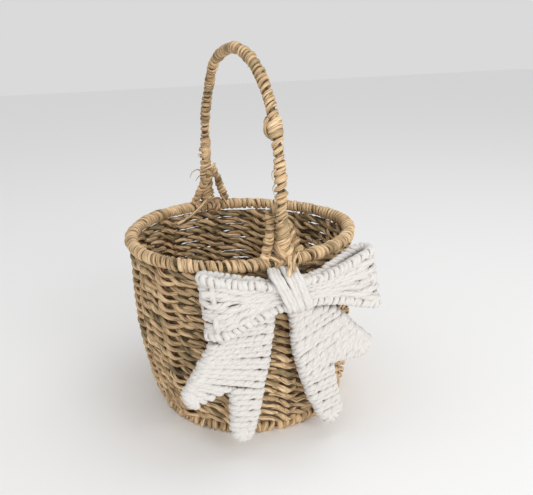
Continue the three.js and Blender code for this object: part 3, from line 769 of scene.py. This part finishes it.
def make_loops(rng):
    for name, loop in LOOPS.items():
        top, bottom = loop_line(loop, 0), loop_line(loop, 1)
        wires = Strands()
        for bar, core in (("top", top), ("bottom", bottom)):
            wires.add(core, UP, 1.2, 1.2, 0.5, rng, sides=8, ridge=0.0)
            wrap = Strands()
            wrap.add(core, UP, 1.8, 1.8, 0.5, rng, ridge=0.02)
            wind(wrap, core, UP, 1.75, 4.3, rng, 0.5, wide=0.98, thick=1.45, steps=20, lump=0.25, lean=0.45,
                 spread=0.14, ridge=0.04, hand=loop["side"])
            piece(f"{name}_loop_{bar}_wrap", wrap, CORD, [f"{name}_loop_{bar}_wrap"])
        end = len(top) // 2
        for post in (end - 3, end + 8):
            line = evenly(np.stack([bottom[post], top[post]]), 1.5)
            wires.add(line, ACROSS, 1.2, 1.2, 0.5, rng, sides=8, ridge=0.0)
        piece(f"{name}_loop_wire", wires, IRON, [f"{name}_loop_wire"])
        make_loop_panel(name, loop, top, bottom, rng)


def racetrack(start, end, front, back, pinches=()):
    """A cord's way once round a tail, from one edge to the other in front and back again behind.

    Each pinch (distance from the start, lift) draws the cord aside a little at one place.
    """
    start, end = np.array(start, float), np.array(end, float)
    run = end - start
    length = np.linalg.norm(run)
    run = run / max(length, 1e-6)
    half = (back - front) / 2
    middle = (back + front) / 2
    inset = min(half * 0.8, length * 0.45)
    t = np.linspace(0, 1, max(6, int(length / 1.5)))
    bend = np.linspace(0, math.pi, 9)[1:-1]
    forth = inset + (length - 2 * inset) * t
    flat = np.vstack([
        np.stack([forth, np.full_like(t, -half)], 1),
        np.stack([length - inset + inset * np.sin(bend), -half * np.cos(bend)], 1),
        np.stack([forth[::-1], np.full_like(t, half)], 1),
        np.stack([inset - inset * np.sin(bend), half * np.cos(bend)], 1),
    ])
    path = evenly(np.stack([flat[:, 0], flat[:, 1], np.zeros(len(flat))], 1), 1.3, closed=True)
    aside = np.zeros(len(path))
    for place, lift in pinches:
        aside = aside + lift * np.exp(-((path[:, 0] - place) / 2.2)**2)
    x = start[0] + run[0] * path[:, 0] - run[1] * aside
    z = start[1] + run[1] * path[:, 0] + run[0] * aside
    return np.stack([x, middle + path[:, 1], z], 1), np.array([-run[1], 0, run[0]])


def ladder(strands, left, right, rows, rng, rib):
    """Rows of twisted cord between two edges, each edge given by its corners in x and z.

    Pairs of rows part at the rib, which is a distance in from the left edge, or from the right if negative.
    """
    def edge(points):
        p = np.array([(x, 0, z) for x, z in points], float)
        return evenly(p, count=rows)[:, (0, 2)]

    starts, ends = edge(left), edge(right)
    for i in range(rows):
        jitter = rng.uniform(-0.4, 0.4, 4)
        length = np.linalg.norm(ends[i] - starts[i])
        side = 1 if i % 2 else -1
        pinches = [(rib if rib > 0 else length + rib, 0.7 * side)]
        if length > 25:
            pinches.append((rng.uniform(0.3, 0.7) * length, rng.uniform(0.2, 0.8) * side))
        start, end = starts[i] + jitter[:2], ends[i] + jitter[2:]
        path, up = racetrack(start, end, TAIL_Y - 2.9, TAIL_Y + 2.9, pinches)
        path[:, 1] += 0.35 * side
        along = np.arange(len(path)) / len(path)
        turns = max(1, round(len(path) * 1.3 / 15.0))
        spin = -TAU * turns * along + rng.uniform(0, TAU)
        swell = 1 + 0.06 * wave(along, rng, 1, 6)
        twisted(strands, path, up, LADDER_CORD * swell, spin, rng, closed=True)


def lobed_cord(strands, path, up, wide, thick, spin, rng):
    """A closed cord made as one strand with two turning lobes."""
    strands.add(path, up, wide, thick, 0.5, rng, closed=True, sides=12, spin=spin, ridge=0.03, lobes=2,
                lobe=0.1)


def tip(strands, hub, rim, rng):
    """Cords that fan out over the end of a prong, from a hub to points on its outline."""
    for i, end in enumerate(rim):
        path, up = racetrack(hub, end, TAIL_Y - 3.4 - 0.3 * (i % 2), TAIL_Y + 3.2)
        along = np.arange(len(path)) / len(path)
        lobed_cord(strands, path, up, TIP_CORD, TIP_CORD * 0.9, -TAU * 2 * along, rng)


# Each tail's rib, its outline, its ladders (left edge, right edge, rows) and the tips of its prongs (hub, rim).
TAILS = {
    "left": {
        "rib": -6.5,
        "outline": [(-15, 111.5), (-17.5, 91), (-21, 70), (-27, 46), (-33, 22), (-42.5, 16), (-49.3, 26),
                    (-48.3, 61), (-78, 53), (-85, 65), (-63.5, 99), (-38, 111.5)],
        "ladders": [
            ([(-22, 116), (-40, 111), (-63.5, 99)], [(-14.5, 116), (-16, 105), (-17.3, 95.5)], 6),
            ([(-65, 96), (-77, 77.5)], [(-17.8, 91), (-21, 73), (-24.4, 60.5)], 7),
            ([(-78.5, 75), (-84.6, 66)], [(-51, 63), (-76.5, 55)], 5),
            ([(-48.6, 61), (-49.2, 28)], [(-25, 56), (-28, 42), (-32.5, 25)], 8),
            ([(-48.2, 24), (-46, 20)], [(-33.4, 21.5), (-35.5, 18.5)], 2),
        ],
        "tips": [((-42, 26), [(-48.3, 21.5), (-45, 17.4), (-41, 16.2), (-36, 18.5)]),
                 ((-77, 63), [(-84.6, 65), (-84, 59.5), (-81, 55.5), (-77, 53.7)])],
    },
    "right": {
        "rib": 7.5,
        "outline": [(0.5, 111.5), (2.8, 86), (10.5, 54), (25, 18), (36, 12), (43, 24), (34.5, 66), (61, 67),
                    (69, 79), (50, 99), (36, 113.5)],
        "ladders": [
            ([(0.8, 113), (1.8, 99), (2.8, 87.5)], [(12, 116), (34, 114), (44.5, 104.5)], 7),
            ([(3.4, 84), (9, 60.5)], [(46, 103), (57, 91)], 6),
            ([(16, 60.5), (26, 63.5)], [(57.3, 90.4), (58, 90)], 2),
            ([(34.5, 67.5), (60, 68)], [(58.6, 89.2), (68.4, 80)], 6),
            ([(9.8, 57), (16, 39), (24, 22)], [(35, 63), (38, 46), (42.2, 27)], 9),
        ],
        "tips": [((33, 23), [(25.6, 18.5), (30, 14.5), (35, 12.6), (39.8, 16.5), (42.8, 22.5)]),
                 ((60, 76), [(61.8, 67.6), (66, 71.4), (69, 76.5), (68.6, 80.5)])],
    },
}


def make_tails(rng):
    for name, tail in TAILS.items():
        corners = [(x, TAIL_Y, z) for x, z in tail["outline"]]
        centre = np.mean(corners, 0)
        inner = [np.array(c) + 3.4 * unit(centre - np.array(c)) for c in corners]
        wire = Strands()
        path = evenly(spline(inner, True, 10), 1.5, closed=True)
        wire.add(path, DEPTH, 1.1, 1.1, 0.5, rng, closed=True, sides=8, ridge=0.0)
        piece(f"{name}_tail_wire", wire, IRON, [f"{name}_tail_wire"])
        panel = Strands()
        for left, right, rows in tail["ladders"]:
            ladder(panel, left, right, rows, rng, tail["rib"])
        for hub, rim in tail["tips"]:
            tip(panel, hub, rim, rng)
        piece(f"{name}_tail_panel", panel, CORD, [f"{name}_tail_panel"])


# The knot's cords: place in x at the bow's middle, layer, of which 1 stands in front, and slant.
KNOT_HEIGHT = 136
KNOT_CORDS = [(-14.0, 0, 0.50), (-11.2, 1, 0.49), (-8.4, 0, 0.47), (-4.9, 1, 0.35), (-2.0, 0, 0.35),
              (0.9, 1, 0.33), (3.7, 0, 0.31)]
# The strands that tie the knot to the handle foot: points, half width, sides of the section and tone.
TIES = [
    ([(2, -103, 158), (0, -107, 157.4), (-2.5, -112, 155.4), (-5, -118, 154.2), (-7.5, -122.6, 153),
      (-9, -124.6, 150.5)], 1.6, 10, 0.78),
    ([(6, -101, 158), (4, -106, 157.6), (1, -112, 155), (-1.5, -118, 154), (-3, -122.6, 152)], 1.3, 8, 0.55),
]


def make_knot(rng):
    knot = Strands()
    for x0, layer, slant in KNOT_CORDS:
        front = -123.2 - 0.9 * layer + rng.uniform(-0.3, 0.3)
        top = 150.4 + rng.uniform(-0.8, 0.8)
        bottom = 121.6 + rng.uniform(-0.8, 0.8)
        lean = slant + rng.uniform(-0.04, 0.04)
        loop = [(front, 136), (front + 0.4, 146), (front + 3.6, top - 0.6), (-112, top + 0.6),
                (-105.2, top - 1), (-102.8, 146), (-102.8, 136), (-102.8, 124), (-105.2, bottom + 1),
                (-112, bottom - 0.6), (front + 3.6, bottom + 0.6), (front + 0.4, 126)]
        points = []
        for y, z in loop:
            forward = np.clip((-104 - y) / 16, 0, 1)
            points.append((x0 + 1.5 - lean * (z - KNOT_HEIGHT) * (0.35 + 0.65 * forward), y, z))
        path = evenly(spline(points, True), 1.3, closed=True)
        along = np.arange(len(path)) / len(path)
        lobed_cord(knot, path, ACROSS, 1.85, 1.7, -TAU * 5 * along + rng.uniform(0, TAU), rng)
    piece("bow_knot", knot, CORD, ["bow_knot"])
    tie = Strands()
    for points, wide, sides, tone in TIES:
        tie.add(evenly(spline(points), 1.0), (1, 0, 0.2), wide, 0.6, tone, rng, sides=sides, ridge=0.1)
    piece("tie_strand", tie, SEAGRASS, ["tie_strand"])


# ---------------------------------------------------------------- stage, light and camera

def make_stage():
    mesh = bpy.data.meshes.new("floor")
    size = 4.0
    corners = [(-size, -size, 0), (size, -size, 0), (size, size, 0), (-size, size, 0)]
    mesh.from_pydata(corners, [], [(0, 1, 2, 3)])
    floor = bpy.data.objects.new("floor", mesh)
    bpy.context.scene.collection.objects.link(floor)
    material, _, shader = new_material("pale_floor")
    shader.inputs["Base Color"].default_value = (0.93, 0.93, 0.93, 1)
    shader.inputs["Roughness"].default_value = 0.95
    shader.inputs["Specular IOR Level"].default_value = 0.1
    mesh.materials.append(material)


def area_light(name, place, size, power):
    """A square soft light that points at the basket. Metres and watts."""
    data = bpy.data.lights.new(name, "AREA")
    data.shape = "SQUARE"
    data.size = size
    data.energy = power
    lamp = bpy.data.objects.new(name, data)
    lamp.location = place
    lamp.rotation_euler = (Vector((0, 0, 0.1)) - Vector(place)).to_track_quat("-Z", "Y").to_euler()
    bpy.context.scene.collection.objects.link(lamp)


def make_light():
    world = bpy.data.worlds.new("studio")
    bpy.context.scene.world = world
    world.use_nodes = True
    background = world.node_tree.nodes["Background"]
    background.inputs["Color"].default_value = (1, 1, 1, 1)
    background.inputs["Strength"].default_value = 0.70
    area_light("key", (0.35, -1.25, 0.80), 0.5, 4.4)
    area_light("front", (-0.15, -1.40, 0.30), 0.6, 4.8)
    area_light("top", (0.4, -0.1, 1.4), 0.9, 2.9)


def make_camera():
    data = bpy.data.cameras.new("camera")
    data.sensor_fit = "HORIZONTAL"
    data.sensor_width = 36.0
    data.lens = 43.9
    camera = bpy.data.objects.new("camera", data)
    azimuth, elevation, roll = math.radians(-21.6), math.radians(17.9), math.radians(-1.5)
    turn = Matrix.Rotation(azimuth, 4, "Z") @ Matrix.Rotation(math.pi / 2 - elevation, 4, "X")
    camera.matrix_world = Matrix.Translation((-0.180, -0.5165, 0.3105)) @ turn @ Matrix.Rotation(roll, 4, "Z")
    bpy.context.scene.collection.objects.link(camera)
    bpy.context.scene.camera = camera


bpy.context.scene.view_settings.view_transform = "Standard"
make_camera()
make_light()
make_stage()
make_stakes(np.random.default_rng(11))
make_rows(np.random.default_rng(12))
make_rim(np.random.default_rng(13))
make_base(np.random.default_rng(14))
make_handle(np.random.default_rng(15))
make_feet(np.random.default_rng(16))
make_loops(np.random.default_rng(17))
make_tails(np.random.default_rng(18))
make_knot(np.random.default_rng(19))
